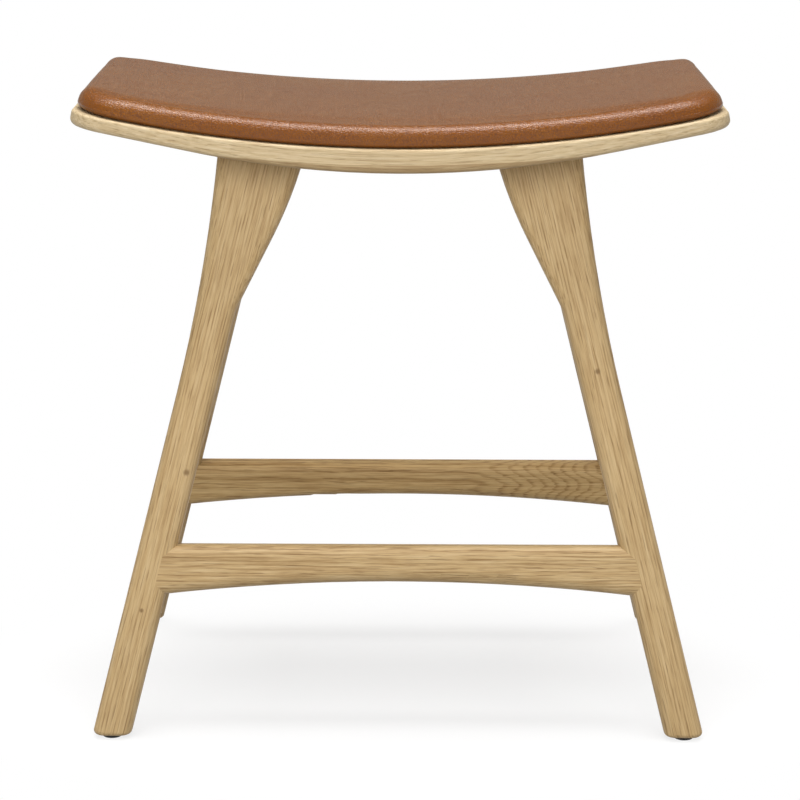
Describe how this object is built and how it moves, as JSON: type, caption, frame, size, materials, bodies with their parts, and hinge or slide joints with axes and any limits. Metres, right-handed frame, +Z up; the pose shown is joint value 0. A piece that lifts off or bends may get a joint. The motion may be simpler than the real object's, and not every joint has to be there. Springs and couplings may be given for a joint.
{
  "type": "stool",
  "caption": "Low wooden stool: a seat dished along its length under a thin leather pad, splayed bone-shaped legs, and arched stretchers at the front and rear.",
  "frame": {"origin": "centre of the stool's footprint on the floor", "axes": "+Z up, +X to the right along the seat's length, the front faces -Y"},
  "size_m": [0.4652, 0.313, 0.4651],
  "materials": {
    "oak": "matte",
    "beech": "matte",
    "plywood": "matte",
    "leather": "satin",
    "foam": "matte",
    "steel": "satin",
    "glide": "matte"
  },
  "bodies": {
    "root": {"seat_board": "oak", "leg_front_left": "oak", "leg_front_right": "oak", "leg_rear_left": "oak", "leg_rear_right": "oak", "stretcher_front": "oak", "stretcher_rear": "oak", "bearer_left": "oak", "bearer_right": "oak", "leg_dowels": "beech", "bearer_screws": "steel", "pad_board": "plywood", "pad_foam": "foam", "pad_cover": "leather", "cover_staples": "steel", "pad_screws": "steel", "glide_nails": "steel", "glide_front_left": "glide", "glide_front_right": "glide", "glide_rear_left": "glide", "glide_rear_right": "glide"}
  },
  "joints": []
}
